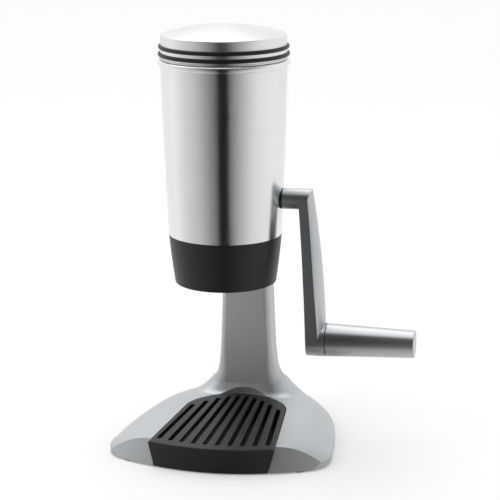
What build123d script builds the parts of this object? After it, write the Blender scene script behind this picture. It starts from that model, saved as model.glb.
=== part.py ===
from build123d import *
import math
import os

os.makedirs("parts", exist_ok=True)

# A hand-cranked ice crusher: a steel cup with a stopper lid stands over a drinking vessel's place,
# a toothed rotor in its foot breaks the ice against two fixed combs, and a cast stand carries it all.
# Millimetres. Origin on the floor under the cup's axis, +X towards the crank, -Y towards the user.

# ------------------------------------------------------------------ driving dimensions
lid_edge_z = 347.7           # top of the lid's outer edge
lid_crown = 7.4              # rise of the domed lid above that edge, to the overall height of 355.1
lid_r = 50.9
cup_rim_z = 327.9
bead_r = 53.7                # rolled rim of the cup
cup_top_r, cup_top_z = 51.3, 322.2
cup_mid_r, cup_mid_z = 49.3, 253.0
cup_foot_r, cup_foot_z = 46.4, 184.2
cup_wall = 1.2
collar_mid_r, collar_mid_z = 44.3, 164.0
collar_mouth_r, collar_mouth_z = 41.6, 143.6
collar_wall = 2.6

crank_z = 214.5              # height of the crank shaft
crank_radius = 117.5         # shaft to grip
grip_z = crank_z - crank_radius
hub_r, hub_start = 8.5, 48.6
boss_r, boss_start, boss_end = 13.9, 69.0, 84.45
grip_start, grip_end = 84.7, 157.6
grip_big_r, grip_small_r = 13.7, 11.3

shaft_r = 5.0
journal_r = 4.0              # left end of the shaft
hex_flats = 8.6              # the part of the shaft that drives the rotor
running_gap = 0.05           # radial clearance of every bearing

blade_count = 5
blade_pitch = 10.4
blade_thick = 2.5
blade_tip_r, blade_root_r = 19.5, 11.5
blade_teeth = 6
spacer_r = 7.5
throat_half_x, throat_half_y = 29.0, 23.5
throat_wall = 3.0
frame_low_z, frame_top_z = 191.0, 238.0
funnel_top_z = 262.0

tray_top_z = 21.3
tray_front_centre_y, tray_front_r = 80.0, 151.8
tray_front_half, tray_narrowing = 52.8, 0.095     # half width at the front corner, loss per mm to the back
tray_corner_y = -61.0
tray_back_y = 73.2
tray_draft = 0.26            # sideways loss per mm of depth
tray_gap = 0.7
slot_count = 10
slot_pitch, slot_width = 10.12, 4.1
slot_fan_y = 444.0           # the slots point at this place far behind the tray

base_low_z = 1.2             # the rubber pads lift the casting this much
rim_z = 6.5                  # top of the outer edge
plateau_z = 20.4
seam_z = 29.4                # joint between the base and the column
recess_floor_z = 4.6
column_front_y, column_back_y = 76.0, 104.0


# ------------------------------------------------------------------ cup
def cup_outside(grow=0.0):
    """The solid inside the cup's outer wall, from well below its foot up to its top."""
    with BuildPart() as body:
        with BuildSketch(Plane.XZ):
            with BuildLine():
                side = ThreePointArc(
                    (cup_foot_r + grow, cup_foot_z), (cup_mid_r + grow, cup_mid_z), (cup_top_r + grow, cup_top_z)
                )
                Polyline(side @ 1, (0, cup_top_z), (0, cup_foot_z), side @ 0)
            make_face()
        revolve(axis=Axis.Z)
    return body.part


with BuildPart() as cup:
    with BuildSketch(Plane.XZ):
        with BuildLine():
            outer = ThreePointArc((cup_foot_r, cup_foot_z), (cup_mid_r, cup_mid_z), (cup_top_r, cup_top_z))
            bead = ThreePointArc(outer @ 1, (bead_r, 325.1), (51.9, cup_rim_z))
            lip = Line(bead @ 1, (cup_top_r - cup_wall, cup_rim_z))
            mouth = Line(lip @ 1, (cup_top_r - cup_wall, cup_top_z))
            inner = ThreePointArc(
                mouth @ 1, (cup_mid_r - cup_wall, cup_mid_z), (cup_foot_r - cup_wall, cup_foot_z)
            )
            Line(inner @ 1, outer @ 0)
        make_face()
    revolve(axis=Axis.Z)
    # the bush of the crank shaft passes the wall on the right, two screws pass it at the back
    with BuildSketch(Plane.YZ.offset(30)):
        with Locations((0, crank_z)):
            Circle(7.3)
    extrude(amount=30, mode=Mode.SUBTRACT)
    with BuildSketch(Plane.XZ.offset(-30)):
        with Locations((0, 205), (0, 278)):
            Circle(2.6)
    extrude(amount=-30, mode=Mode.SUBTRACT)
cup.part.label = "cup"
export_step(cup.part, "parts/cup.step")

# ------------------------------------------------------------------ outlet collar under the cup
with BuildPart() as outlet_collar:
    with BuildSketch(Plane.XZ):
        with BuildLine():
            shoulder_z = cup_foot_z - 0.3
            skin = ThreePointArc(
                (cup_foot_r, shoulder_z), (collar_mid_r, collar_mid_z), (collar_mouth_r, collar_mouth_z)
            )
            foot = Line(skin @ 1, (collar_mouth_r - collar_wall, collar_mouth_z))
            bore = ThreePointArc(
                foot @ 1, (collar_mid_r - collar_wall, collar_mid_z), (cup_foot_r - collar_wall - 1.2, shoulder_z)
            )
            Polyline(
                bore @ 1,
                (cup_foot_r - collar_wall - 1.2, 190.7),
                (cup_foot_r - cup_wall - 0.3, 190.7),
                (cup_foot_r - cup_wall - 0.3, shoulder_z),
                skin @ 0,
            )
        make_face()
    revolve(axis=Axis.Z)
    fillet(outlet_collar.edges().group_by(Axis.Z)[0], radius=0.9)
outlet_collar.part.label = "outlet_collar"
export_step(outlet_collar.part, "parts/outlet_collar.step")

# ------------------------------------------------------------------ lid: spun cap, two rings, plug and seal
ring_minor_r = 1.65
ring_upper_r, ring_upper_z = 51.15, 337.8
ring_lower_r, ring_lower_z = 51.45, 331.9
lid_skirt_z = 328.2
crown_r = lid_r - 1.1        # where the dome meets the rounded edge
crown_ball_r = (crown_r**2 + lid_crown**2) / (2 * lid_crown)
lid_sheet = 2.4


def crown_z(radius, drop=0.0):
    """Height of the lid's dome, or of the parallel face that lies drop below it, at a radius."""
    ball_centre_z = lid_edge_z + lid_crown - crown_ball_r
    return ball_centre_z + math.sqrt((crown_ball_r - drop) ** 2 - radius**2)


with BuildPart() as lid_cap:
    with BuildSketch(Plane.XZ):
        with BuildLine():
            Polyline(
                (48.4, lid_skirt_z), (51.7, lid_skirt_z), (51.7, 329.0), (51.3, 329.3),
                (51.3, 339.0), (lid_r, 339.4), (lid_r, lid_edge_z - 1.0),
            )
            brow = ThreePointArc((lid_r, lid_edge_z - 1.0), (lid_r - 0.4, lid_edge_z - 0.25), (crown_r, lid_edge_z))
            dome = ThreePointArc(brow @ 1, (crown_r / 2, crown_z(crown_r / 2)), (0, crown_z(0)))
            axis_line = Line(dome @ 1, (0, crown_z(0, lid_sheet)))
            ceiling = ThreePointArc(
                axis_line @ 1, (24.2, crown_z(24.2, lid_sheet)), (48.4, crown_z(48.4, lid_sheet))
            )
            Line(ceiling @ 1, (48.4, lid_skirt_z))
        make_face()
    revolve(axis=Axis.Z)
    # the two grooves that hold the rings
    with BuildSketch(Plane.XZ):
        with Locations((ring_upper_r, ring_upper_z), (ring_lower_r, ring_lower_z)):
            Circle(ring_minor_r)
    revolve(axis=Axis.Z, mode=Mode.SUBTRACT)
lid_cap.part.label = "lid_cap"
export_step(lid_cap.part, "parts/lid_cap.step")

with BuildPart() as lid_ring_upper:
    with BuildSketch(Plane.XZ):
        with Locations((ring_upper_r, ring_upper_z)):
            Circle(ring_minor_r)
    revolve(axis=Axis.Z)
lid_ring_upper.part.label = "lid_ring_upper"
export_step(lid_ring_upper.part, "parts/lid_ring_upper.step")

with BuildPart() as lid_ring_lower:
    with BuildSketch(Plane.XZ):
        with Locations((ring_lower_r, ring_lower_z)):
            Circle(ring_minor_r)
    revolve(axis=Axis.Z)
lid_ring_lower.part.label = "lid_ring_lower"
export_step(lid_ring_lower.part, "parts/lid_ring_lower.step")

# the plug is a moulded cup that fills the cap and reaches into the mouth of the steel cup
plug_r = 48.9
with BuildPart() as lid_plug:
    with BuildSketch(Plane.XZ):
        with BuildLine():
            Polyline(
                (0, 325.0), (46.4, 325.0), (46.4, 317.4), (47.4, 316.4), (plug_r, 316.4),
                (plug_r, 319.2), (plug_r - 1.2, 319.2), (plug_r - 1.2, 322.4), (plug_r, 322.4), (plug_r, 328.0),
                (48.3, 328.0), (48.3, 343.6), (46.3, 343.6), (46.3, 327.2), (0, 327.2), close=True,
            )
        make_face()
    revolve(axis=Axis.Z)
    with BuildSketch(Plane.XY.offset(327.2)):
        with PolarLocations(radius=28, count=6):
            Rectangle(36.6, 1.6)
    extrude(amount=16.3)
lid_plug.part.label = "lid_plug"
export_step(lid_plug.part, "parts/lid_plug.step")

with BuildPart() as lid_seal:
    with BuildSketch(Plane.XZ):
        with Locations(((plug_r - 1.2 + 49.8) / 2, 320.8)):
            RectangleRounded(49.8 - plug_r + 1.2, 3.0, 0.7)
    revolve(axis=Axis.Z)
lid_seal.part.label = "lid_seal"
export_step(lid_seal.part, "parts/lid_seal.step")

# ------------------------------------------------------------------ crusher frame and hopper funnel
with BuildPart() as crusher_frame:
    # throat walls
    with BuildSketch(Plane.XY.offset(frame_low_z)):
        Rectangle(2 * (throat_half_x + throat_wall), 2 * (throat_half_y + throat_wall))
    extrude(amount=frame_top_z - frame_low_z)
    # flanges that wedge in the tapering cup
    with BuildSketch(Plane.XY.offset(frame_low_z)):
        Circle(44.8)
    extrude(amount=2.5)
    with BuildSketch(Plane.XY.offset(frame_top_z - 2.5)):
        Circle(47.0)
    extrude(amount=2.5)
    # bearing bosses and their webs, right and left
    with BuildSketch(Plane.YZ.offset(throat_half_x)):
        with Locations((0, crank_z)):
            Circle(10.5)
    extrude(amount=15.0)
    with BuildSketch(Plane.YZ.offset(-throat_half_x)):
        with Locations((0, crank_z)):
            Circle(9.5)
    extrude(amount=-15.0)
    with BuildSketch(Plane.XZ.offset(-1.5)):
        with Locations((throat_half_x + 8.5, 214.5), (-throat_half_x - 8.5, 214.5)):
            Rectangle(14.5, 44)
    extrude(amount=3.0)
    # the throat, and the bores of the two bushes
    with BuildSketch(Plane.XY.offset(frame_low_z)):
        RectangleRounded(2 * throat_half_x, 2 * throat_half_y, 0.5)
    extrude(amount=frame_top_z - frame_low_z, mode=Mode.SUBTRACT)
    with BuildSketch(Plane.YZ.offset(throat_half_x - 1)):
        with Locations((0, crank_z)):
            Circle(7.2)
    extrude(amount=30, mode=Mode.SUBTRACT)
    with BuildSketch(Plane.YZ.offset(-throat_half_x + 1)):
        with Locations((0, crank_z)):
            Circle(6.2)
    extrude(amount=-13.5, mode=Mode.SUBTRACT)
    # holes for the comb screws in the front and back walls, and for the collar screws below
    with BuildSketch(Plane.XZ.offset(-40)):
        with Locations((-20.8, 202.5), (20.8, 202.5)):
            Circle(1.7)
    extrude(amount=80, mode=Mode.SUBTRACT)
crusher_frame.part.label = "crusher_frame"
export_step(crusher_frame.part, "parts/crusher_frame.step")


def funnel_solid(wall):
    """The hopper's loft from the round cup to the rectangular throat, grown outwards by wall."""
    with BuildPart() as hopper:
        with BuildSketch(Plane.XY.offset(frame_top_z + 0.2)):
            RectangleRounded(2 * throat_half_x + 2 * wall, 2 * throat_half_y + 2 * wall, 4)
        with BuildSketch(Plane.XY.offset(funnel_top_z)):
            RectangleRounded(93 + 2 * wall, 93 + 2 * wall, 46.4 + wall)
        loft()
    return hopper.part


with BuildPart() as hopper_funnel:
    add(funnel_solid(1.6))
    add(funnel_solid(0.0), mode=Mode.SUBTRACT)
hopper_funnel.part.label = "hopper_funnel"
export_step(hopper_funnel.part, "parts/hopper_funnel.step")

# ------------------------------------------------------------------ fixed combs
comb_low_z, comb_bar_thick, comb_tooth_thick = 196.0, 3.0, 3.0


def comb_teeth_xs():
    """Places of the comb teeth along the shaft: between the blades and outside the last ones."""
    count = blade_count + 1
    return [(i - (count - 1) / 2) * blade_pitch for i in range(count)]


with BuildPart() as comb_front:
    with BuildSketch(Plane.XZ.offset(throat_half_y - comb_bar_thick)):
        with Locations((0, comb_low_z + 8.5)):
            RectangleRounded(2 * throat_half_x - 1.2, 17, 1.5)
    extrude(amount=comb_bar_thick)
    # each tooth is a slanting wedge that reaches almost to the spacer behind it
    for x in comb_teeth_xs():
        with BuildSketch(Plane.YZ.offset(x - comb_tooth_thick / 2)):
            with BuildLine():
                Polyline(
                    (-throat_half_y + 1, 199), (-throat_half_y + 1, 212.6), (-14.0, 212.6),
                    (-8.6, 207.2), (-9.6, 204.6), (-15.5, 199), close=True,
                )
            make_face()
        extrude(amount=comb_tooth_thick)
    with BuildSketch(Plane.XZ.offset(throat_half_y - comb_bar_thick - 1)):
        with Locations((-20.8, 202.5), (20.8, 202.5)):
            Circle(1.3)
    extrude(amount=comb_bar_thick + 2, mode=Mode.SUBTRACT)
comb_front.part.label = "comb_front"
export_step(comb_front.part, "parts/comb_front.step")

with BuildPart() as comb_rear:
    mirror(comb_front.part, about=Plane.XZ)
comb_rear.part.label = "comb_rear"
export_step(comb_rear.part, "parts/comb_rear.step")

with BuildPart() as comb_screws:
    for side in (1, -1):
        plane = Plane.XZ.offset(side * (throat_half_y + throat_wall))
        with BuildSketch(plane):
            with Locations((-20.8, 202.5), (20.8, 202.5)):
                Circle(3.0)
        extrude(amount=side * 1.8)
        with BuildSketch(plane):
            with Locations((-20.8, 202.5), (20.8, 202.5)):
                Circle(1.25)
        extrude(amount=-side * (throat_wall + comb_bar_thick))
comb_screws.part.label = "comb_screws"
export_step(comb_screws.part, "parts/comb_screws.step")

# ------------------------------------------------------------------ bushes and shaft seal
with BuildPart() as bush_right:
    with BuildSketch(Plane.YZ.offset(throat_half_x - 0.6)):
        with Locations((0, crank_z)):
            Circle(7.15)
            Circle(shaft_r + running_gap, mode=Mode.SUBTRACT)
    extrude(amount=18.0)
bush_right.part.label = "bush_right"
export_step(bush_right.part, "parts/bush_right.step")

with BuildPart() as bush_left:
    with BuildSketch(Plane.YZ.offset(-throat_half_x + 0.6)):
        with Locations((0, crank_z)):
            Circle(6.15)
            Circle(journal_r + running_gap, mode=Mode.SUBTRACT)
    extrude(amount=-12.6)
bush_left.part.label = "bush_left"
export_step(bush_left.part, "parts/bush_left.step")

with BuildPart() as shaft_seal:
    with BuildSketch(Plane.YZ.offset(42)):
        with Locations((0, crank_z)):
            Circle(hub_r - 0.2)
    extrude(amount=hub_start - 0.3 - 42)
    with BuildSketch(Plane.YZ.offset(40)):
        with Locations((0, crank_z)):
            Circle(shaft_r + running_gap)
    extrude(amount=12, mode=Mode.SUBTRACT)
    add(cup_outside(), mode=Mode.SUBTRACT)
shaft_seal.part.label = "shaft_seal"
export_step(shaft_seal.part, "parts/shaft_seal.step")

# ------------------------------------------------------------------ crank shaft with its rotor
with BuildPart() as crank_shaft:
    with BuildSketch(Plane.YZ.offset(-throat_half_x + 0.8)):
        with Locations((0, crank_z)):
            RegularPolygon(hex_flats / 2, 6, major_radius=False)
    extrude(amount=2 * throat_half_x - 1.2)
    with BuildSketch(Plane.YZ.offset(-throat_half_x + 0.8)):
        with Locations((0, crank_z)):
            Circle(journal_r)
    extrude(amount=-11.0)
    with BuildSketch(Plane.YZ.offset(throat_half_x - 0.4)):
        with Locations((0, crank_z)):
            Circle(shaft_r)
    extrude(amount=66.0 - throat_half_x + 0.4)
    chamfer(crank_shaft.faces().sort_by(Axis.X)[0].edges(), length=0.6)
crank_shaft.part.label = "crank_shaft"
export_step(crank_shaft.part, "parts/crank_shaft.step")


def blade_outline():
    """Points of a star of hooked teeth: a steep cutting side and a long sloping back."""
    points = []
    for i in range(blade_teeth):
        base = 360 / blade_teeth * i
        for radius, turn in ((blade_root_r, 0), (blade_tip_r, 8), (blade_tip_r - 0.8, 16), (blade_root_r + 1, 46)):
            angle = math.radians(base + turn)
            points.append((radius * math.cos(angle), radius * math.sin(angle)))
    return points


for i in range(blade_count):
    x = (i - (blade_count - 1) / 2) * blade_pitch
    with BuildPart() as blade:
        with BuildSketch(Plane.YZ.offset(x - blade_thick / 2)):
            with Locations(Location((0, crank_z), 12 * i)):
                Polygon(*blade_outline(), align=None)
            with Locations((0, crank_z)):
                RegularPolygon(hex_flats / 2 + 0.02, 6, major_radius=False, mode=Mode.SUBTRACT)
        extrude(amount=blade_thick)
    blade.part.label = f"rotor_blade_{i + 1}"
    export_step(blade.part, f"parts/rotor_blade_{i + 1}.step")

with BuildPart() as rotor_spacers:
    gap = blade_pitch - blade_thick
    last = (blade_count - 1) / 2 * blade_pitch + blade_thick / 2
    spans = [(-last + blade_thick + i * blade_pitch, gap) for i in range(blade_count - 1)]
    spans += [(-throat_half_x + 0.8, throat_half_x - 0.8 - last), (last, 3.6)]
    for start, length in spans:
        with BuildSketch(Plane.YZ.offset(start)):
            with Locations((0, crank_z)):
                Circle(spacer_r)
                RegularPolygon(hex_flats / 2 + 0.02, 6, major_radius=False, mode=Mode.SUBTRACT)
        extrude(amount=length)
rotor_spacers.part.label = "rotor_spacers"
export_step(rotor_spacers.part, "parts/rotor_spacers.step")

# split ring that keeps the stack of blades and spacers on the shaft
with BuildPart() as shaft_clip:
    clip_x, clip_thick = last + 3.75, 1.2
    with BuildSketch(Plane.YZ.offset(clip_x)):
        with Locations((0, crank_z)):
            Circle(8.0)
            Circle(hex_flats / math.sqrt(3) + 0.02, mode=Mode.SUBTRACT)
        with Locations((0, crank_z + 6.5)):
            Rectangle(4.0, 5.0, mode=Mode.SUBTRACT)
    extrude(amount=clip_thick)
shaft_clip.part.label = "shaft_clip"
export_step(shaft_clip.part, "parts/shaft_clip.step")

# ------------------------------------------------------------------ crank arm
# Sections across the arm at three heights: inner face, ridge and crest in X, half width in Y.
arm_sections = (
    (crank_z + 10.0, 61.4, 67.2, 72.4, 9.4),
    (160.0, 66.0, 74.0, 80.8, 11.3),
    (grip_z, 68.9, 79.6, 84.2, 13.6),
)
arm_head_r = 8.7

with BuildPart() as crank_arm:
    for z, inner_x, ridge_x, crest_x, half in arm_sections:
        with BuildSketch(Plane.XY.offset(z)):
            with BuildLine():
                Polyline((ridge_x, half), (inner_x, half), (inner_x, -half), (ridge_x, -half))
                ThreePointArc((ridge_x, -half), (crest_x, 0), (ridge_x, half))
            make_face()
    loft()
    # the round head of the arm and the taper of its broad side, seen along the shaft
    with BuildSketch(Plane.YZ.offset(40)):
        with BuildLine():
            spread = boss_r - arm_head_r
            lean = math.asin(spread / crank_radius)
            top = (arm_head_r * math.cos(lean), crank_z + arm_head_r * math.sin(lean))
            low = (boss_r * math.cos(lean), grip_z + boss_r * math.sin(lean))
            Line(low, top)
            ThreePointArc(top, (0, crank_z + arm_head_r), (-top[0], top[1]))
            Line((-top[0], top[1]), (-low[0], low[1]))
            ThreePointArc((-low[0], low[1]), (0, grip_z - boss_r), low)
        make_face()
    extrude(amount=60, mode=Mode.INTERSECT)
    with BuildSketch(Plane.YZ.offset(boss_start)):
        with Locations((0, grip_z)):
            Circle(boss_r)
    extrude(amount=boss_end - boss_start)
    with BuildSketch(Plane.YZ.offset(hub_start)):
        with Locations((0, crank_z)):
            Circle(hub_r)
    extrude(amount=66 - hub_start)
    # bores for the shaft, the grub screw and the grip's pin
    with BuildSketch(Plane.YZ.offset(hub_start - 1)):
        with Locations((0, crank_z)):
            Circle(shaft_r)
    extrude(amount=66 - hub_start + 1, mode=Mode.SUBTRACT)
    with BuildSketch(Plane.YZ.offset(72)):
        with Locations((0, grip_z)):
            Circle(4.0)
    extrude(amount=20, mode=Mode.SUBTRACT)
    with BuildSketch(Plane.XZ.offset(-3)):
        with Locations((55, crank_z)):
            Circle(2.0)
    extrude(amount=-10, mode=Mode.SUBTRACT)
crank_arm.part.label = "crank_arm"
export_step(crank_arm.part, "parts/crank_arm.step")

with BuildPart() as hub_screw:
    with BuildSketch(Plane.XZ.offset(-shaft_r)):
        with Locations((55, crank_z)):
            Circle(2.0)
    extrude(amount=-2.9)
    with BuildSketch(Plane.XZ.offset(-shaft_r - 1.4)):
        with Locations((55, crank_z)):
            RegularPolygon(1.0, 6, major_radius=False)
    extrude(amount=-2, mode=Mode.SUBTRACT)
hub_screw.part.label = "hub_screw"
export_step(hub_screw.part, "parts/hub_screw.step")

# ------------------------------------------------------------------ grip on its pin
pin_r, pin_head_r = 4.0, 6.6
pin_shoulder = grip_end - 9.0
cap_thick = 3.0

with BuildPart() as grip_pin:
    with BuildSketch(Plane.YZ.offset(72.2)):
        with Locations((0, grip_z)):
            Circle(pin_r)
    extrude(amount=pin_shoulder - 72.2)
    with BuildSketch(Plane.YZ.offset(pin_shoulder)):
        with Locations((0, grip_z)):
            Circle(pin_head_r)
            RegularPolygon(2.5, 6, major_radius=False, mode=Mode.SUBTRACT)
    extrude(amount=3.6)
grip_pin.part.label = "grip_pin"
export_step(grip_pin.part, "parts/grip_pin.step")

with BuildPart() as grip:
    grip_axis = Axis((0, 0, grip_z), (1, 0, 0))
    with BuildSketch(Plane.XZ):
        with BuildLine():
            Polyline(
                (grip_start, grip_z + 6.2), (grip_start, grip_z + grip_big_r - 0.6),
                (grip_start + 0.6, grip_z + grip_big_r), (grip_end - 0.5, grip_z + grip_small_r),
                (grip_end, grip_z + grip_small_r - 0.5), (grip_end, grip_z + 9.6),
                (grip_end - cap_thick, grip_z + 9.6), (grip_end - cap_thick, grip_z + 7.4),
                (pin_shoulder - 0.3, grip_z + 7.4), (pin_shoulder - 0.3, grip_z + 6.2), close=True,
            )
        make_face()
    revolve(axis=grip_axis)
grip.part.label = "grip"
export_step(grip.part, "parts/grip.step")

with BuildPart() as grip_bushes:
    for start in (grip_start + 0.3, pin_shoulder - 14.6):
        with BuildSketch(Plane.YZ.offset(start)):
            with Locations((0, grip_z)):
                Circle(6.15)
                Circle(pin_r + running_gap, mode=Mode.SUBTRACT)
        extrude(amount=14.0)
grip_bushes.part.label = "grip_bushes"
export_step(grip_bushes.part, "parts/grip_bushes.step")

with BuildPart() as grip_cap:
    with BuildSketch(Plane.YZ.offset(grip_end - cap_thick + 0.05)):
        with Locations((0, grip_z)):
            Circle(9.55)
    extrude(amount=cap_thick - 0.05)
    chamfer(grip_cap.faces().sort_by(Axis.X)[-1].edges(), length=0.4)
grip_cap.part.label = "grip_cap"
export_step(grip_cap.part, "parts/grip_cap.step")

# ------------------------------------------------------------------ column
# Level sections of the flaring foot and the straight shank: height, half width, back in Y, corner radius.
foot_sections = (
    (seam_z, 32.9, 111.4, 14.0),
    (33.5, 29.2, 108.4, 11.5),
    (42.0, 25.6, 105.6, 8.5),
    (60.0, 23.0, 104.0, 5.0),
)
shank_top_z, shank_half = 150.0, 19.3
shank_corner = 5.0
saddle_low_z, saddle_top_z = 190.0, 294.0
column_screw_ys = (84.0, 98.0)

with BuildPart() as column:
    for z, half, back, corner in foot_sections:
        with BuildSketch(Plane.XY.offset(z)):
            with Locations((0, (column_front_y + back) / 2)):
                RectangleRounded(2 * half, back - column_front_y, corner)
    loft()
    z, half, back, corner = foot_sections[-1]
    for level, width in ((z, half), (shank_top_z, shank_half)):
        with BuildSketch(Plane.XY.offset(level)):
            with Locations((0, (column_front_y + column_back_y) / 2)):
                RectangleRounded(2 * width, column_back_y - column_front_y, shank_corner)
    loft(ruled=True)

# the neck leans forward and ends in the saddle behind the cup
with BuildPart() as neck:
    with BuildSketch(Plane.YZ.offset(-shank_half)):
        with BuildLine():
            front = Line((column_front_y, shank_top_z), (column_front_y, 163))
            throat = TangentArc(front @ 1, (49, saddle_low_z), tangent=(0, 1))
            Polyline(throat @ 1, (38, saddle_low_z), (38, saddle_top_z), (62, saddle_top_z))
            crest = TangentArc((62, saddle_top_z), (73, 285), tangent=(1, 0))
            back_line = Line((column_back_y, 188), (column_back_y, shank_top_z))
            Spline(crest @ 1, (93, 235), back_line @ 0, tangents=(crest % 1, (0, -1)))
            Line(back_line @ 1, front @ 0)
        make_face()
    extrude(amount=2 * shank_half)
    side_edges = neck.edges().filter_by(lambda e: abs(abs(e.center().X) - shank_half) < 0.01)
    fillet(side_edges.filter_by(lambda e: e.center().Y > 40 and e.center().Z > shank_top_z + 1), radius=shank_corner)

with column:
    add(neck.part)
    add(cup_outside(), mode=Mode.SUBTRACT)
    # tapped holes: two from below, two from inside the cup
    with BuildSketch(Plane.XY.offset(seam_z)):
        with Locations(*[(0, y) for y in column_screw_ys]):
            Circle(3.0)
    extrude(amount=20, mode=Mode.SUBTRACT)
    with BuildSketch(Plane.XZ.offset(-40)):
        with Locations((0, 205), (0, 278)):
            Circle(2.5)
    extrude(amount=-28, mode=Mode.SUBTRACT)
column.part.label = "column"
export_step(column.part, "parts/column.step")

with BuildPart() as cup_screws:
    for z, wall_y in ((205, 45.6), (278, 48.7)):
        with BuildSketch(Plane.XZ.offset(-wall_y + 0.6)):
            with Locations((0, z)):
                Circle(4.6)
                RegularPolygon(1.6, 6, major_radius=False, mode=Mode.SUBTRACT)
        extrude(amount=2.4)
        with BuildSketch(Plane.XZ.offset(-wall_y + 0.6)):
            with Locations((0, z)):
                Circle(2.45)
        extrude(amount=-15.0)
cup_screws.part.label = "cup_screws"
export_step(cup_screws.part, "parts/cup_screws.step")

# ------------------------------------------------------------------ drip tray: slotted grate over a tub
def tray_half(y):
    """Half width of the tray's top at a place along it."""
    return tray_front_half - tray_narrowing * (y - tray_corner_y)


def tray_outline(inset, front_inset=None):
    """Closed wire of the tray seen from above, moved inwards by inset on all sides."""
    front_inset = inset if front_inset is None else front_inset
    front_r = tray_front_r - front_inset
    corner_x = tray_half(tray_corner_y) - inset
    corner_y = tray_front_centre_y - math.sqrt(front_r**2 - corner_x**2)
    shoulder_y = 36.0
    shoulder_x = tray_half(shoulder_y) - inset
    with BuildLine() as outline:
        ThreePointArc((-corner_x, corner_y), (0, tray_front_centre_y - front_r), (corner_x, corner_y))
        Line((corner_x, corner_y), (shoulder_x, shoulder_y))
        ThreePointArc((shoulder_x, shoulder_y), (0, tray_back_y - inset), (-shoulder_x, shoulder_y))
        Line((-shoulder_x, shoulder_y), (-corner_x, corner_y))
    return outline.wire()


def tray_solid(low_z, high_z, inset, front_inset=None, draft=tray_draft):
    """The tray's drafted form between two heights, with a vertical front."""
    front_inset = inset if front_inset is None else front_inset
    with BuildPart() as form:
        for z in (low_z, high_z):
            depth = (tray_top_z - z) * draft
            with BuildSketch(Plane.XY.offset(z)):
                make_face(tray_outline(inset + depth, front_inset).edges())
        loft(ruled=True)
    return form.part


grate_thick, skirt_wall, front_wall = 2.8, 1.6, 3.6
grate_skirt_z = 15.0         # foot of the lip that goes round the tub
front_skirt_z = 1.0

with BuildPart() as drip_grate:
    add(tray_solid(front_skirt_z, tray_top_z, 0))
    fillet(drip_grate.faces().sort_by(Axis.Z)[-1].edges(), radius=1.2)
    # below the lip's foot only the front wall remains, hanging before the edge of the base's floor
    with BuildSketch(Plane.XY):
        with Locations((0, tray_front_centre_y)):
            Circle(tray_front_r - front_wall)
    extrude(amount=grate_skirt_z, mode=Mode.SUBTRACT)
    # hollow underneath, for the tub
    add(tray_solid(0, tray_top_z - grate_thick, skirt_wall, front_wall + 0.6), mode=Mode.SUBTRACT)
    # the slots fan out from a point far behind and end short of the round back
    with BuildSketch(Plane.XY.offset(tray_top_z)):
        for i in range(slot_count):
            k = i - (slot_count - 1) / 2
            front_x = k * slot_pitch
            front_y = tray_front_centre_y - math.sqrt((tray_front_r - 9.8) ** 2 - front_x**2) + slot_width / 2
            back_y = 64.5 - 2.05 * abs(k) ** 1.82
            back_x = front_x * (slot_fan_y - back_y) / (slot_fan_y - front_y)
            length = math.hypot(back_x - front_x, back_y - front_y) + slot_width
            angle = math.degrees(math.atan2(back_y - front_y, back_x - front_x))
            with Locations(Location(((front_x + back_x) / 2, (front_y + back_y) / 2), angle)):
                SlotOverall(length, slot_width)
    extrude(amount=-grate_thick - 0.5, mode=Mode.SUBTRACT)
drip_grate.part.label = "drip_grate"
export_step(drip_grate.part, "parts/drip_grate.step")

tub_inset = skirt_wall + 1.3  # clears the lip's foot while the grate is lifted out
tub_wall = 1.4
tub_top_z = tray_top_z - grate_thick - 0.3
with BuildPart() as drip_tub:
    add(tray_solid(recess_floor_z + 0.2, tub_top_z, tub_inset, front_wall + 1.6))
    add(
        tray_solid(recess_floor_z + 0.2 + tub_wall, tub_top_z + 1, tub_inset + tub_wall, front_wall + 1.6 + tub_wall),
        mode=Mode.SUBTRACT,
    )
drip_tub.part.label = "drip_tub"
export_step(drip_tub.part, "parts/drip_tub.step")

# ------------------------------------------------------------------ base casting
# Right half of the outer edge seen from above: middle of the front arc, the rounded corner's ends, the side.
rim_front_y, rim_front_r = -71.4, 174.0
rim_corner = ((78.5, -52.6), (92.6, -34.0))
rim_side = ((91.6, -10.0), (87.6, 28.0), (78.2, 65.0), (65.6, 90.0), (46.5, 112.0), (0, 132.0))
facet_lean = 0.47            # the front face leans back this much per mm of height
wing_edge_x = 50.6           # the wings fall away outside this half width
foot_half, foot_back_y, foot_corner = 33.0, 111.0, 14.0     # the column's footprint at the seam
flank_slope = 1.59           # fall of the flanks below the column's foot
flank_reach = 0.81           # how much of a step away from the foot counts towards that fall
cove = 8.0                   # softness of the hollow between the flanks and the wings


def rim_outline(shrink=1.0):
    """Area of the base seen from above, or a smaller copy of it."""
    with BuildSketch(mode=Mode.PRIVATE) as plan:
        with BuildLine():
            corner_in, corner_out = rim_corner
            front_centre_y = rim_front_y + rim_front_r
            front = RadiusArc((0, rim_front_y), corner_in, -rim_front_r)
            turn = TangentArc(corner_in, corner_out, tangent=front % 1)
            side = Spline(corner_out, *rim_side, tangents=(turn % 1, (-1, 0)))
            Line(side @ 1, front @ 0)
        make_face()
        mirror(about=Plane.YZ)
    return scale(plan.sketch, by=shrink, mode=Mode.PRIVATE)


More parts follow.
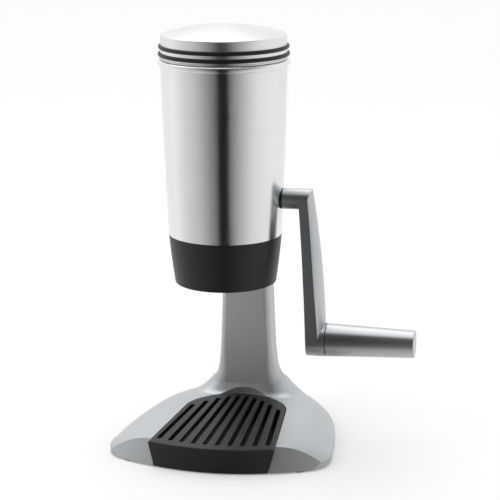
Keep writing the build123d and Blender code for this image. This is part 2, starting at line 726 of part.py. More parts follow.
def rim_half(y):
    """Half width of the base at a place along it, on a smooth curve that runs on straight past its ends."""
    points = ((83.0, rim_corner[0][1]), rim_corner[1]) + rim_side[:-1]
    last = len(points) - 1

    def slope(k):
        (x0, y0), (x1, y1) = points[max(k - 1, 0)], points[min(k + 1, last)]
        return (x1 - x0) / (y1 - y0)

    for end in (0, last):
        if (y - points[end][1]) * (1 if end else -1) >= 0:
            return points[end][0] + slope(end) * (y - points[end][1])
    i = max(k for k in range(last) if points[k][1] <= y)
    (x0, y0), (x1, y1) = points[i], points[i + 1]
    step = y1 - y0
    t = (y - y0) / step
    ends = x0 * (2 * t**3 - 3 * t**2 + 1) + x1 * (3 * t**2 - 2 * t**3)
    return ends + step * (slope(i) * (t**3 - 2 * t**2 + t) + slope(i + 1) * (t**3 - t**2))


def top_height(x, y):
    """Height of the casting's top: level wings that fall to the rim, blended with the column's flanks."""
    half = rim_half(y)
    spare = half - wing_edge_x
    width = (spare + 14.0 + math.hypot(spare - 14.0, 8.0)) / 2
    inwards = min(1.0, (half - abs(x)) / width)
    t = min(1.0, max(0.0, (y - 47.0) / 109.0))
    fade = 1 - t * t * (3 - 2 * t)
    wing = rim_z + (plateau_z - rim_z) * fade * (1 - (1 - inwards) ** 2.37)
    front_line, back_line = column_front_y + foot_corner, foot_back_y - foot_corner
    to_side = flank_reach * max(abs(x) - foot_half + foot_corner, 0.0)
    to_front = flank_reach * max(front_line - y, 0.0) + 0.5 * max(column_front_y - y, 0.0)
    to_back = flank_reach * max(y - back_line, 0.0)
    flank = seam_z - flank_slope * (math.hypot(to_side, to_front, to_back) - flank_reach * foot_corner)
    summit = seam_z + 5.0
    flank = (flank + summit - math.hypot(flank - summit, 3.0)) / 2
    return (wing + flank + math.hypot(wing - flank, cove)) / 2


def top_form(drop=0.0):
    """The solid below the casting's smooth top, lowered by drop."""
    rows = [[(x, y, top_height(x, y) - drop) for x in range(-95, 96, 5)] for y in range(-80, 141, 5)]
    skin = Face.make_surface_from_array_of_points(rows, tol=0.05)
    return extrude(skin, amount=60, dir=(0, 0, -1), mode=Mode.PRIVATE)


pad_places = ((70.0, -48.6), (-70.0, -48.6), (40.0, 103.0), (-40.0, 103.0))
pad_r = 6.5
floor_wall = 3.0
front_wall_thick = 6.0
roof_thick = 3.6
pedestal_half, pedestal_front_y, pedestal_length = 44.0, 62.0, 80.0    # solid metal under the column


def leaning_front(inset, mode):
    """The cone whose surface is the leaning front face, or a smaller one inside it."""
    foot_r = rim_front_r - inset
    with Locations((0, rim_front_y + rim_front_r, base_low_z)):
        Cone(
            foot_r,
            foot_r - facet_lean * seam_z,
            seam_z,
            align=(Align.CENTER, Align.CENTER, Align.MIN),
            mode=mode,
        )



# everything that is hollow under the casting: the inner form less the tray's tub, pedestal, bosses and ribs
with BuildPart() as hollow:
    add(top_form(drop=roof_thick))
    with BuildSketch(Plane.XY):
        add(rim_outline(0.95))
    extrude(amount=seam_z, mode=Mode.INTERSECT)
    leaning_front(front_wall_thick, mode=Mode.INTERSECT)
    add(tray_solid(0, seam_z, -floor_wall - 2.0, draft=0), mode=Mode.SUBTRACT)
    with BuildSketch(Plane.XY):
        with Locations(*pad_places):
            Circle(pad_r + 2.0)
        with Locations((0, pedestal_front_y + pedestal_length / 2)):
            Rectangle(2 * pedestal_half, pedestal_length)
        with Locations((0, 40)):
            with PolarLocations(radius=70, count=10, start_angle=18):
                Rectangle(80, 2.4)
    extrude(amount=seam_z, mode=Mode.SUBTRACT)

with BuildPart() as base_foot:
    with BuildSketch(Plane.XY.offset(base_low_z)):
        add(rim_outline())
    extrude(amount=seam_z - base_low_z)
    add(top_form(), mode=Mode.INTERSECT)
    leaning_front(0.0, mode=Mode.INTERSECT)
    # recess for the tray, open to the front
    add(tray_solid(recess_floor_z, tray_top_z, -tray_gap, -5), mode=Mode.SUBTRACT)
    add(tray_solid(tray_top_z, seam_z + 5, -tray_gap, -5, draft=0), mode=Mode.SUBTRACT)
    with BuildPart(mode=Mode.PRIVATE) as front_slot:
        add(tray_solid(0, recess_floor_z + 1, -tray_gap, -5))
        with BuildSketch(Plane.XY):
            with Locations((0, tray_front_centre_y)):
                Circle(tray_front_r - front_wall - tray_gap)
        extrude(amount=20, mode=Mode.SUBTRACT)
    add(front_slot.part, mode=Mode.SUBTRACT)
    add(hollow.part, mode=Mode.SUBTRACT)
    # seats of the rubber pads, and the counterbored holes of the column's bolts
    with BuildSketch(Plane.XY.offset(base_low_z)):
        with Locations(*pad_places):
            Circle(pad_r)
    extrude(amount=1.0, mode=Mode.SUBTRACT)
    with BuildSketch(Plane.XY.offset(0)):
        with Locations(*[(0, y) for y in column_screw_ys]):
            Circle(5.4)
    extrude(amount=10.0, mode=Mode.SUBTRACT)
    with BuildSketch(Plane.XY.offset(0)):
        with Locations(*[(0, y) for y in column_screw_ys]):
            Circle(3.2)
    extrude(amount=seam_z + 1, mode=Mode.SUBTRACT)
base_foot.part.label = "base_foot"
export_step(base_foot.part, "parts/base_foot.step")

with BuildPart() as base_pads:
    with BuildSketch(Plane.XY):
        with Locations(*pad_places):
            Circle(pad_r - 0.1)
    extrude(amount=base_low_z + 1.0)
    chamfer(base_pads.edges().group_by(Axis.Z)[0], length=0.5)
base_pads.part.label = "base_pads"
export_step(base_pads.part, "parts/base_pads.step")

with BuildPart() as column_bolts:
    with BuildSketch(Plane.XY.offset(3.6)):
        with Locations(*[(0, y) for y in column_screw_ys]):
            Circle(5.0)
            RegularPolygon(2.5, 6, major_radius=False, mode=Mode.SUBTRACT)
    extrude(amount=4.0)
    with BuildSketch(Plane.XY.offset(7.6)):
        with Locations(*[(0, y) for y in column_screw_ys]):
            Circle(5.0)
    extrude(amount=2.4)
    with BuildSketch(Plane.XY.offset(10.0)):
        with Locations(*[(0, y) for y in column_screw_ys]):
            Circle(2.95)
    extrude(amount=35.0)
column_bolts.part.label = "column_bolts"
export_step(column_bolts.part, "parts/column_bolts.step")
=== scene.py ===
"""Dresses the packed ice crusher: a finish for each piece, a pale studio and the matching view."""

import logging
import math
from dataclasses import dataclass, field
from enum import Enum

import bpy
from mathutils import Matrix, Vector

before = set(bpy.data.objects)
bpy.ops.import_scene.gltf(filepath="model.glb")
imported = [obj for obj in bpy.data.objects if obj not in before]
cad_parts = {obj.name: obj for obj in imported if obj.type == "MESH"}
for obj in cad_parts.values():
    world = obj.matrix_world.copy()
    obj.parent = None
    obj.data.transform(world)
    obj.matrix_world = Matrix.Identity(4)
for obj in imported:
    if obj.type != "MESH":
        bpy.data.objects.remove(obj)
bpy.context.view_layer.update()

log = logging.getLogger("ice_crusher")

Colour = tuple[float, float, float]
Point = tuple[float, float, float]
Tree = bpy.types.NodeTree
Node = bpy.types.Node
Socket = bpy.types.NodeSocket

MICRON = 1e-6


# ---------------------------------------------------------------- node helpers
def math_node(tree: Tree, operation: str, a: Socket | float, b: Socket | float) -> Socket:
    """Add a Math node whose two inputs are sockets or numbers.

    Args:
        tree: The node tree.
        operation: Blender's name of the operation.
        a: First input.
        b: Second input.

    Returns:
        The node's output.
    """
    node = tree.nodes.new("ShaderNodeMath")
    node.operation = operation
    for socket, value in zip(node.inputs, (a, b)):
        if isinstance(value, Socket):
            tree.links.new(value, socket)
        else:
            socket.default_value = value
    return node.outputs[0]


def object_coords(tree: Tree) -> Socket:
    """Add the coordinates of the object's own mesh.

    Args:
        tree: The node tree.

    Returns:
        The coordinates, in metres.
    """
    return tree.nodes.new("ShaderNodeTexCoord").outputs["Object"]


def split_axes(tree: Tree, vector: Socket) -> Node:
    """Split a vector into its axes.

    Args:
        tree: The node tree.
        vector: The vector.

    Returns:
        The node with the outputs X, Y and Z.
    """
    split = tree.nodes.new("ShaderNodeSeparateXYZ")
    tree.links.new(vector, split.inputs[0])
    return split


def noise_node(tree: Tree, vector: Socket, detail: float) -> Node:
    """Add fractal noise.

    Args:
        tree: The node tree.
        vector: Where the noise is read.
        detail: Number of finer layers on the first one.

    Returns:
        The noise node.
    """
    noise = tree.nodes.new("ShaderNodeTexNoise")
    noise.inputs["Detail"].default_value = detail
    tree.links.new(vector, noise.inputs["Vector"])
    return noise


# ---------------------------------------------------------------- effects that the finishes share
class Effect(Enum):
    """Names of the node groups that the finishes share."""

    TURNED_LINES = "turned_lines"
    MOTTLE = "mottle"
    FLAKE = "flake"
    MOULDED_GRAIN = "moulded_grain"


def new_group(effect: Effect, inputs: dict[str, float], output: str) -> Tree:
    """Start a shader node group with float sockets.

    Args:
        effect: The group's name.
        inputs: Names and defaults of its inputs.
        output: Name of its output.

    Returns:
        The group, with its input and output nodes inside.
    """
    tree = bpy.data.node_groups.new(effect.value, "ShaderNodeTree")
    for name, default in inputs.items():
        socket = tree.interface.new_socket(name, in_out="INPUT", socket_type="NodeSocketFloat")
        socket.default_value = default
    tree.interface.new_socket(output, in_out="OUTPUT", socket_type="NodeSocketFloat")
    tree.nodes.new("NodeGroupInput").name = "in"
    tree.nodes.new("NodeGroupOutput").name = "out"
    return tree


def build_turned_lines() -> None:
    """Fine lines that run round the Z axis, as a belt leaves them on a turned cup."""
    tree = new_group(Effect.TURNED_LINES, {"Along": 9.0, "Across": 2400.0}, "Lines")
    nodes, links = tree.nodes, tree.links
    split = split_axes(tree, object_coords(tree))
    joined = nodes.new("ShaderNodeCombineXYZ")
    for axis, scale in (("X", "Along"), ("Y", "Along"), ("Z", "Across")):
        scaled = math_node(tree, "MULTIPLY", split.outputs[axis], nodes["in"].outputs[scale])
        links.new(scaled, joined.inputs[axis])
    noise = noise_node(tree, joined.outputs[0], detail=3.0)
    noise.inputs["Scale"].default_value = 1.0
    links.new(noise.outputs[0], nodes["out"].inputs["Lines"])


def build_mottle() -> None:
    """Broad soft patches, for slow changes of colour."""
    tree = new_group(Effect.MOTTLE, {"Scale": 12.0, "Low": 0.35, "High": 0.65}, "Mask")
    nodes, links = tree.nodes, tree.links
    noise = noise_node(tree, object_coords(tree), detail=4.0)
    links.new(nodes["in"].outputs["Scale"], noise.inputs["Scale"])
    spread = nodes.new("ShaderNodeMapRange")
    links.new(noise.outputs[0], spread.inputs["Value"])
    links.new(nodes["in"].outputs["Low"], spread.inputs["From Min"])
    links.new(nodes["in"].outputs["High"], spread.inputs["From Max"])
    links.new(spread.outputs[0], nodes["out"].inputs["Mask"])


def build_flake() -> None:
    """Cells of random brightness, as metal flakes in a lacquer."""
    tree = new_group(Effect.FLAKE, {"Scale": 1500.0}, "Glint")
    nodes, links = tree.nodes, tree.links
    cells = nodes.new("ShaderNodeTexVoronoi")
    links.new(object_coords(tree), cells.inputs["Vector"])
    links.new(nodes["in"].outputs["Scale"], cells.inputs["Scale"])
    split = nodes.new("ShaderNodeSeparateColor")
    links.new(cells.outputs["Color"], split.inputs[0])
    links.new(split.outputs[0], nodes["out"].inputs["Glint"])


def build_moulded_grain() -> None:
    """The fine pebbled skin of a moulding."""
    tree = new_group(Effect.MOULDED_GRAIN, {"Scale": 900.0}, "Height")
    nodes, links = tree.nodes, tree.links
    noise = noise_node(tree, object_coords(tree), detail=2.0)
    links.new(nodes["in"].outputs["Scale"], noise.inputs["Scale"])
    links.new(noise.outputs[0], nodes["out"].inputs["Height"])


def use(tree: Tree, effect: Effect, **values: float) -> Socket:
    """Place a shared effect in a material.

    Args:
        tree: The material's node tree.
        effect: Which effect.
        values: Values of its inputs, where they differ from the defaults.

    Returns:
        The effect's output.
    """
    node = tree.nodes.new("ShaderNodeGroup")
    node.node_tree = bpy.data.node_groups[effect.value]
    for name, value in values.items():
        node.inputs[name].default_value = value
    return node.outputs[0]


# ---------------------------------------------------------------- finishes
@dataclass(frozen=True)
class Finish:
    """What every finish has, and how its material is built.

    Attributes:
        name: The material's name.
        colour: Base colour, linear.
        worn: Colour in the patches.
        metallic: 1 for bare metal.
        roughness: Lowest and highest roughness.
        patch_scale: Patches per metre, about.
        relief: Depth of the bump in metres.
        specular: Strength of the mirror highlight of a surface that isn't metal.
    """

    name: str
    colour: Colour
    worn: Colour
    metallic: float = 0.0
    roughness: tuple[float, float] = (0.4, 0.5)
    patch_scale: float = 12.0
    relief: float = 10 * MICRON
    specular: float = 0.5

    def relief_height(self, tree: Tree) -> Socket:
        """Height map of the surface: the fine grain of a moulding, unless a kind of finish has its own.

        Args:
            tree: The material's node tree.

        Returns:
            The height, from 0 to 1.
        """
        return use(tree, Effect.MOULDED_GRAIN)

    def detail(self, tree: Tree, shader: Node) -> None:
        """Settings that only one kind of finish has.

        Args:
            tree: The material's node tree.
            shader: Its Principled shader.
        """

    def material(self) -> bpy.types.Material:
        """Build the finish.

        Returns:
            The new material.
        """
        made = bpy.data.materials.new(self.name)
        made.use_nodes = True
        tree = made.node_tree
        shader = tree.nodes["Principled BSDF"]
        shader.inputs["Metallic"].default_value = self.metallic
        shader.inputs["Specular IOR Level"].default_value = self.specular
        tint = tree.nodes.new("ShaderNodeMix")
        tint.data_type = "RGBA"
        tint.inputs["A"].default_value = (*self.colour, 1.0)
        tint.inputs["B"].default_value = (*self.worn, 1.0)
        tree.links.new(use(tree, Effect.MOTTLE, Scale=self.patch_scale), tint.inputs["Factor"])
        tree.links.new(tint.outputs["Result"], shader.inputs["Base Color"])
        height = self.relief_height(tree)
        gloss = tree.nodes.new("ShaderNodeMapRange")
        gloss.inputs["To Min"].default_value, gloss.inputs["To Max"].default_value = self.roughness
        tree.links.new(height, gloss.inputs["Value"])
        tree.links.new(gloss.outputs[0], shader.inputs["Roughness"])
        bump = tree.nodes.new("ShaderNodeBump")
        bump.inputs["Distance"].default_value = self.relief
        tree.links.new(height, bump.inputs["Height"])
        tree.links.new(bump.outputs[0], shader.inputs["Normal"])
        self.detail(tree, shader)
        return made


@dataclass(frozen=True)
class TurnedSteel(Finish):
    """Stainless steel brushed round its axis, which draws its highlights out into upright bands.

    Attributes:
        anisotropy: How far the highlights are drawn out.
        anisotropy_turn: Turn of their direction from the lines, as a share of a full turn.
    """

    anisotropy: float = 0.7
    anisotropy_turn: float = 0.25

    def relief_height(self, tree: Tree) -> Socket:
        """Lines round the axis."""
        return use(tree, Effect.TURNED_LINES)

    def detail(self, tree: Tree, shader: Node) -> None:
        """Stretch the highlights along the axis."""
        shader.inputs["Anisotropic"].default_value = self.anisotropy
        shader.inputs["Anisotropic Rotation"].default_value = self.anisotropy_turn
        tangent = tree.nodes.new("ShaderNodeTangent")
        tangent.direction_type = "RADIAL"
        tangent.axis = "Z"
        tree.links.new(tangent.outputs[0], shader.inputs["Tangent"])


@dataclass(frozen=True)
class SilverCoat(Finish):
    """Metallic lacquer: fine flakes under a thin clear film.

    Attributes:
        film: Strength of the clear film.
        film_roughness: Its roughness.
    """

    film: float = 0.15
    film_roughness: float = 0.3

    def relief_height(self, tree: Tree) -> Socket:
        """Flakes that catch the light one by one."""
        return use(tree, Effect.FLAKE)

    def detail(self, tree: Tree, shader: Node) -> None:
        """Add the clear film."""
        shader.inputs["Coat Weight"].default_value = self.film
        shader.inputs["Coat Roughness"].default_value = self.film_roughness


SATIN_STEEL = TurnedSteel(
    "satin_steel", (0.80, 0.81, 0.82), (0.78, 0.79, 0.80), 1.0, (0.18, 0.26), 9.0, 4 * MICRON
)
LID_STEEL = TurnedSteel(
    "lid_steel", (0.80, 0.81, 0.82), (0.78, 0.79, 0.80), 1.0, (0.3, 0.38), 9.0, 4 * MICRON,
    anisotropy=0.4,
)
SILVER_CAST = SilverCoat(
    "silver_cast", (0.52, 0.54, 0.555), (0.49, 0.51, 0.525), 0.85, (0.38, 0.46), relief=3 * MICRON
)
SILVER_COLUMN = SilverCoat(
    "silver_column", (0.50, 0.515, 0.53), (0.47, 0.485, 0.50), 0.45, (0.40, 0.48), relief=3 * MICRON
)
SILVER_ARM = SilverCoat(
    "silver_arm", (0.53, 0.55, 0.565), (0.50, 0.52, 0.535), 1.0, (0.28, 0.36), relief=3 * MICRON
)
SILVER_MOULDING = SilverCoat(
    "silver_moulding", (0.52, 0.535, 0.55), (0.50, 0.515, 0.53), 1.0, (0.28, 0.36), relief=3 * MICRON
)
BLACK_MOULDING = Finish(
    "black_moulding", (0.010, 0.011, 0.012), (0.013, 0.014, 0.015), 0.0, (0.36, 0.46), specular=0.32
)
CHARCOAL_GRATE = Finish(
    "charcoal_grate", (0.014, 0.017, 0.019), (0.018, 0.021, 0.023), 0.0, (0.42, 0.55),
    relief=20 * MICRON, specular=0.3,
)
BLACK_RUBBER = Finish(
    "black_rubber", (0.006, 0.006, 0.007), (0.009, 0.009, 0.010), 0.0, (0.35, 0.5), specular=0.3
)
PAD_RUBBER = Finish(
    "pad_rubber", (0.02, 0.02, 0.02), (0.03, 0.03, 0.03), 0.0, (0.6, 0.75), relief=30 * MICRON
)
TURNED_BRIGHT = Finish("turned_bright", (0.6, 0.6, 0.61), (0.56, 0.56, 0.57), 1.0, (0.2, 0.3))
GROUND_BLADE = Finish("ground_blade", (0.56, 0.56, 0.57), (0.50, 0.50, 0.51), 1.0, (0.25, 0.4), 60.0)
CAST_ALLOY = Finish(
    "cast_alloy", (0.52, 0.53, 0.54), (0.46, 0.47, 0.48), 1.0, (0.5, 0.62), relief=60 * MICRON
)
NYLON = Finish("nylon", (0.78, 0.77, 0.72), (0.74, 0.73, 0.68), 0.0, (0.35, 0.45))
ZINC = Finish("zinc", (0.58, 0.59, 0.60), (0.50, 0.51, 0.54), 1.0, (0.3, 0.42), 90.0)


@dataclass
class Wardrobe:
    """The materials made so far, so that pieces with the same finish share one.

    Attributes:
        made: Materials by the name of their finish.
    """

    made: dict[str, bpy.types.Material] = field(default_factory=dict)

    def material(self, finish: Finish) -> bpy.types.Material:
        """Fetch a finish's material, and build it the first time.

        Args:
            finish: The finish.

        Returns:
            Its material.
        """
        if finish.name not in self.made:
            self.made[finish.name] = finish.material()
        return self.made[finish.name]


# ---------------------------------------------------------------- sub-assemblies
@dataclass(frozen=True)
class SubAssembly:
    """CAD nodes that are fitted together as one unit.

    Attributes:
        finishes: The finish that each node wears, by the node's name.
    """

    finishes: dict[str, Finish]

    def dress(self, wardrobe: Wardrobe) -> None:
        """Give every node its finish; its mesh stays as the CAD made it.

        Args:
            wardrobe: Where the materials come from.
        """
        for name, finish in self.finishes.items():
            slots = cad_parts[name].data.materials
            slots.clear()
            slots.append(wardrobe.material(finish))
            log.info("%s: %s wears %s", type(self).__name__, name, finish.name)


@dataclass(frozen=True)
class Cup(SubAssembly):
    """The steel cup, its black outlet collar, the funnel inside and the screws that hold the cup."""

    finishes: dict[str, Finish] = field(
        default_factory=lambda: {
            "cup": SATIN_STEEL,
            "outlet_collar": BLACK_MOULDING,
            "hopper_funnel": BLACK_MOULDING,
            "cup_screws": ZINC,
        }
    )


@dataclass(frozen=True)
class Lid(SubAssembly):
    """The spun lid, its two rings, and the plug and seal under it."""

    finishes: dict[str, Finish] = field(
        default_factory=lambda: {
            "lid_cap": LID_STEEL,
            "lid_ring_upper": BLACK_RUBBER,
            "lid_ring_lower": BLACK_RUBBER,
            "lid_plug": BLACK_MOULDING,
            "lid_seal": BLACK_RUBBER,
        }
    )


@dataclass(frozen=True)
class Crusher(SubAssembly):
    """The frame in the cup's foot, the fixed combs and the rotor with its shaft and bushes."""

    finishes: dict[str, Finish] = field(
        default_factory=lambda: {
            "crusher_frame": CAST_ALLOY,
            "comb_front": GROUND_BLADE,
            "comb_rear": GROUND_BLADE,
            "comb_screws": ZINC,
            "bush_left": NYLON,
            "bush_right": NYLON,
            "shaft_seal": BLACK_RUBBER,
            "crank_shaft": TURNED_BRIGHT,
            "rotor_spacers": TURNED_BRIGHT,
            "shaft_clip": TURNED_BRIGHT,
            **{f"rotor_blade_{number}": GROUND_BLADE for number in range(1, 6)},
        }
    )


@dataclass(frozen=True)
class Crank(SubAssembly):
    """The cast crank arm and the turning grip on its pin."""

    finishes: dict[str, Finish] = field(
        default_factory=lambda: {
            "crank_arm": SILVER_ARM,
            "hub_screw": ZINC,
            "grip_pin": TURNED_BRIGHT,
            "grip": SILVER_MOULDING,
            "grip_bushes": NYLON,
            "grip_cap": SILVER_MOULDING,
        }
    )


@dataclass(frozen=True)
class Stand(SubAssembly):
    """The cast base and column, the pads and the drip tray."""

    finishes: dict[str, Finish] = field(
        default_factory=lambda: {
            "base_foot": SILVER_CAST,
            "column": SILVER_COLUMN,
            "column_bolts": ZINC,
            "base_pads": PAD_RUBBER,
            "drip_grate": CHARCOAL_GRATE,
            "drip_tub": BLACK_MOULDING,
        }
    )


# ---------------------------------------------------------------- studio
@dataclass(frozen=True)
class Floor:
    """A flat pale floor that the camera sees as white where no shadow falls.

    Attributes:
        half_width: Half its edge length in metres.
        colour: Its colour, linear.
        roughness: Its roughness.
        specular: Strength of its mirror highlight.
        lift: Light that it adds in the camera's view and in reflections.
        dimming: Share of its brightness that reflections lose.
    """

    half_width: float = 6.0
    colour: Colour = (0.86, 0.86, 0.86)
    roughness: float = 0.9
    specular: float = 0.1
    lift: float = 0.2
    dimming: float = 0.06

    def lay(self) -> None:
        """Add the floor."""
        bpy.ops.mesh.primitive_plane_add(size=2 * self.half_width)
        floor = bpy.context.object
        floor.name = "floor"
        floor.data.materials.append(self.material())

    def material(self) -> bpy.types.Material:
        """Build the floor's material.

        Returns:
            The material.
        """
        made = bpy.data.materials.new("pale_floor")
        made.use_nodes = True
        tree = made.node_tree
        shader = tree.nodes["Principled BSDF"]
        shader.inputs["Base Color"].default_value = (*self.colour, 1.0)
        shader.inputs["Roughness"].default_value = self.roughness
        shader.inputs["Specular IOR Level"].default_value = self.specular
        path = tree.nodes.new("ShaderNodeLightPath")
        reflected = path.outputs["Is Glossy Ray"]
        seen = math_node(tree, "MAXIMUM", path.outputs["Is Camera Ray"], reflected)
        light = tree.nodes.new("ShaderNodeEmission")
        tree.links.new(math_node(tree, "MULTIPLY", seen, self.lift), light.inputs["Strength"])
        lit = tree.nodes.new("ShaderNodeAddShader")
        tree.links.new(shader.outputs[0], lit.inputs[0])
        tree.links.new(light.outputs[0], lit.inputs[1])
        # the second shader is left empty, which is black
        dimmed = tree.nodes.new("ShaderNodeMixShader")
        tree.links.new(math_node(tree, "MULTIPLY", reflected, self.dimming), dimmed.inputs[0])
        tree.links.new(lit.outputs[0], dimmed.inputs[1])
        tree.links.new(dimmed.outputs[0], tree.nodes["Material Output"].inputs["Surface"])
        return made


@dataclass(frozen=True)
class Surroundings:
    """White to the camera and a softer fill to matt surfaces; polished metal sees a darker ceiling in it.

    Attributes:
        fill: Brightness that lights matt surfaces.
        ceiling: Brightness of the ceiling's dark patch in reflections.
        ceiling_towards: Direction of the patch's middle from the object.
        ceiling_angles: Degrees from there to the patch's full darkness and to its end.
    """

    fill: float = 0.55
    ceiling: float = 0.42
    ceiling_towards: Point = (0.2, -0.65, 0.75)
    ceiling_angles: tuple[float, float] = (30.0, 72.0)

    def surround(self) -> None:
        """Make this the scene's world."""
        world = bpy.data.worlds.new("surroundings")
        bpy.context.scene.world = world
        world.use_nodes = True
        tree = world.node_tree
        sky = tree.nodes["Background"]
        sky.inputs["Color"].default_value = (1.0, 1.0, 1.0, 1.0)
        path = tree.nodes.new("ShaderNodeLightPath")
        level = tree.nodes.new("ShaderNodeMapRange")
        level.inputs["To Min"].default_value = self.fill
        tree.links.new(path.outputs["Is Camera Ray"], level.inputs["Value"])
        reflected = path.outputs["Is Glossy Ray"]
        direct = math_node(tree, "SUBTRACT", 1.0, reflected)
        plain = math_node(tree, "MULTIPLY", level.outputs[0], direct)
        mirrored = math_node(tree, "MULTIPLY", self.mirrored_level(tree), reflected)
        tree.links.new(math_node(tree, "ADD", plain, mirrored), sky.inputs["Strength"])

    def mirrored_level(self, tree: Tree) -> Socket:
        """Brightness in reflections, by direction.

        Args:
            tree: The world's node tree.

        Returns:
            The ceiling's brightness within the patch, and 1 outside it.
        """
        coords = tree.nodes.new("ShaderNodeTexCoord")
        towards = tree.nodes.new("ShaderNodeVectorMath")
        towards.operation = "DOT_PRODUCT"
        towards.inputs[1].default_value = Vector(self.ceiling_towards).normalized()
        tree.links.new(coords.outputs["Generated"], towards.inputs[0])
        patch = tree.nodes.new("ShaderNodeMapRange")
        patch.interpolation_type = "SMOOTHSTEP"
        inner, outer = (math.cos(math.radians(angle)) for angle in self.ceiling_angles)
        patch.inputs["From Min"].default_value = outer
        patch.inputs["From Max"].default_value = inner
        patch.inputs["To Min"].default_value = 1.0
        patch.inputs["To Max"].default_value = self.ceiling
        tree.links.new(towards.outputs["Value"], patch.inputs["Value"])
        return patch.outputs[0]


@dataclass(frozen=True)
class ReflectionScreen:
    """A dark round screen and its foot, thin at the sides, that only polished metal sees.

    It gives the cup its dark upright band and the grey tones beside it.

    Attributes:
        radius: Its radius in metres.
        top: Its height in metres.
        sides: Number of flat sides that make it round.
        foot_height: Height of the foot over the floor in metres.
        colour: Its colour, linear.
        turn: Degrees from -Y towards +X to its middle.
        densities: How dense it is, at degrees from its middle.
    """

    radius: float = 0.34
    top: float = 0.7
    sides: int = 96
    foot_height: float = 0.0004
    colour: Colour = (0.01, 0.01, 0.01)
    turn: float = 10.5
    densities: tuple[tuple[float, float], ...] = (
        (-100.0, 0.0), (-87.0, 0.15), (-73.0, 0.27), (-48.0, 0.41), (-37.0, 0.52), (-15.0, 0.80),
        (-11.0, 0.86), (-8.0, 1.0), (7.0, 1.0), (10.0, 0.84), (17.0, 0.69), (33.0, 0.44),
        (50.0, 0.23), (62.0, 0.15), (82.0, 0.08), (100.0, 0.0),
    )

    def stand(self) -> None:
        """Add the screen and its foot."""
        bpy.ops.mesh.primitive_cylinder_add(
            vertices=self.sides, radius=self.radius, depth=self.top, end_fill_type="NOTHING",
            location=(0, 0, self.top / 2),
        )
        screen = bpy.context.object
        screen.name = "dark_screen"
        bpy.ops.mesh.primitive_circle_add(
            vertices=self.sides, radius=self.radius, fill_type="TRIFAN", location=(0, 0, self.foot_height)
        )
        foot = bpy.context.object
        foot.name = "dark_screen_foot"
        material = self.material()
        for part in (screen, foot):
            part.data.materials.append(material)
            part.visible_camera = False
            part.visible_diffuse = False
            part.visible_shadow = False
            part.visible_transmission = False

    def material(self) -> bpy.types.Material:
        """Build the screen's material, which thins out by the angle round the Z axis.

        Returns:
            The material.
        """
        made = bpy.data.materials.new("dark_screen")
        made.use_nodes = True
        tree = made.node_tree
        shader = tree.nodes["Principled BSDF"]
        shader.inputs["Base Color"].default_value = (*self.colour, 1.0)
        shader.inputs["Roughness"].default_value = 1.0
        shader.inputs["Specular IOR Level"].default_value = 0.0
        axes = split_axes(tree, object_coords(tree)).outputs
        forward = math_node(tree, "MULTIPLY", axes["Y"], -1.0)
        angle = math_node(tree, "ARCTAN2", axes["X"], forward)
        off = math_node(tree, "SUBTRACT", angle, math.radians(self.turn))
        share = math_node(tree, "ADD", math_node(tree, "DIVIDE", off, math.tau), 0.5)
        ramp = tree.nodes.new("ShaderNodeValToRGB")
        stops = ramp.color_ramp.elements
        stops.remove(stops[1])
        for number, (degrees, density) in enumerate(self.densities):
            stop = stops.new(1.0) if number else stops[0]
            stop.position = degrees / 360.0 + 0.5
            stop.color = (density, density, density, 1.0)
        tree.links.new(share, ramp.inputs["Fac"])
        tree.links.new(ramp.outputs["Color"], shader.inputs["Alpha"])
        return made


@dataclass(frozen=True)
class Softbox:
    """A square area lamp aimed at the object, which doesn't show in reflections.

    Attributes:
        name: The lamp's name.
        place: Where it hangs, in metres.
        size: Edge length in metres.
        power: Watts.
    """

    name: str
    place: Point
    size: float
    power: float

    def hang(self, target: Vector) -> None:
        """Add the lamp.

        Args:
            target: The point that it faces.
        """
        bpy.ops.object.light_add(type="AREA", location=self.place)
        lamp = bpy.context.object
        lamp.name = self.name
        lamp.data.shape = "SQUARE"
        lamp.data.size = self.size
        lamp.data.energy = self.power
        lamp.visible_glossy = False
        lamp.rotation_euler = (target - Vector(self.place)).to_track_quat("-Z", "Y").to_euler()


@dataclass(frozen=True)
class Sky:
    """A broad even light from above, which reaches the whole floor alike.

    Attributes:
        strength: Its irradiance.
        spread: Degrees across, as the object sees it.
        tilt: Degrees that it leans about X and Y.
        place: Where its marker hangs; the light is the same from anywhere.
    """

    strength: float = 1.1
    spread: float = 70.0
    tilt: tuple[float, float] = (-12.0, -14.0)
    place: Point = (0.0, 0.0, 3.0)

    def hang(self) -> None:
        """Add the light."""
        bpy.ops.object.light_add(type="SUN", location=self.place)
        sky = bpy.context.object
        sky.name = "sky_panel"
        sky.data.energy = self.strength
        sky.data.angle = math.radians(self.spread)
        sky.rotation_euler = (*(math.radians(angle) for angle in self.tilt), 0.0)


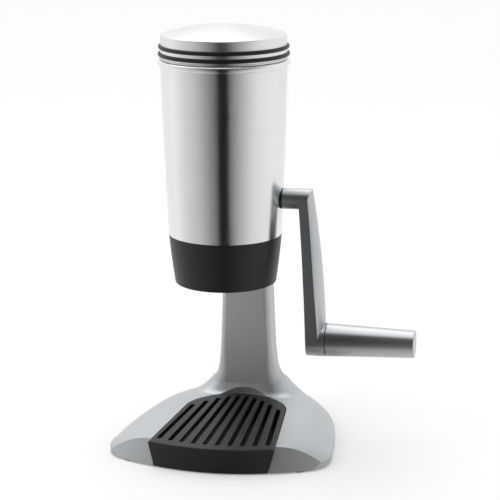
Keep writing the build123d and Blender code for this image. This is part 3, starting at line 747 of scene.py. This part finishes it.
@dataclass(frozen=True)
class Viewpoint:
    """The camera, where it stood for the photograph.

    Attributes:
        place: Its place in metres.
        azimuth: Degrees that its back is turned from -Y towards +X.
        pitch: Degrees that it looks down.
        roll: Degrees that it leans.
        lens: Focal length in millimetres.
        sensor_width: Width of its sensor in millimetres.
        reach: How far it sees, in metres.
    """

    place: Point = (0.3164, -1.4053, 0.5273)
    azimuth: float = 11.89
    pitch: float = 13.97
    roll: float = 0.31
    lens: float = 129.746
    sensor_width: float = 36.0
    reach: float = 50.0

    def set_up(self) -> None:
        """Add the camera and look through it."""
        azimuth, pitch, roll = (math.radians(angle) for angle in (self.azimuth, self.pitch, self.roll))
        level = math.cos(pitch)
        back = Vector((math.sin(azimuth) * level, -math.cos(azimuth) * level, math.sin(pitch)))
        right = Vector((math.cos(azimuth), math.sin(azimuth), 0.0))
        up = back.cross(right)
        x_axis = right * math.cos(roll) - up * math.sin(roll)
        y_axis = right * math.sin(roll) + up * math.cos(roll)
        bpy.ops.object.camera_add(location=self.place)
        camera = bpy.context.object
        camera.name = "viewpoint"
        camera.rotation_euler = Matrix((x_axis, y_axis, back)).transposed().to_euler()
        camera.data.lens = self.lens
        camera.data.sensor_width = self.sensor_width
        camera.data.clip_end = self.reach
        bpy.context.scene.camera = camera


@dataclass(frozen=True)
class Studio:
    """Everything round the object.

    Attributes:
        floor: The floor.
        surroundings: The world.
        screen: The dark screen in the metal's reflections.
        softboxes: The lamps at the sides.
        sky: The light from above.
        viewpoint: The camera.
        target: The point that the lamps face.
    """

    floor: Floor = Floor()
    surroundings: Surroundings = Surroundings()
    screen: ReflectionScreen = ReflectionScreen()
    softboxes: tuple[Softbox, ...] = (
        Softbox("left_softbox", (-1.9, -0.7, 0.9), 1.7, 9.0),
        Softbox("right_softbox", (2.1, -0.3, 0.8), 1.7, 7.5),
    )
    sky: Sky = Sky()
    viewpoint: Viewpoint = Viewpoint()
    target: Point = (0.0, 0.02, 0.17)

    def set_up(self) -> None:
        """Build the whole studio."""
        self.floor.lay()
        self.surroundings.surround()
        self.screen.stand()
        for softbox in self.softboxes:
            softbox.hang(Vector(self.target))
        self.sky.hang()
        self.viewpoint.set_up()
        log.info("the studio is set")


def main() -> None:
    """Dress every sub-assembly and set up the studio."""
    logging.basicConfig(level=logging.INFO)
    bpy.context.scene.view_settings.view_transform = "Standard"
    for build in (build_turned_lines, build_mottle, build_flake, build_moulded_grain):
        build()
    wardrobe = Wardrobe()
    for assembly in (Cup(), Lid(), Crusher(), Crank(), Stand()):
        assembly.dress(wardrobe)
    Studio().set_up()


if __name__ == "__main__":
    main()
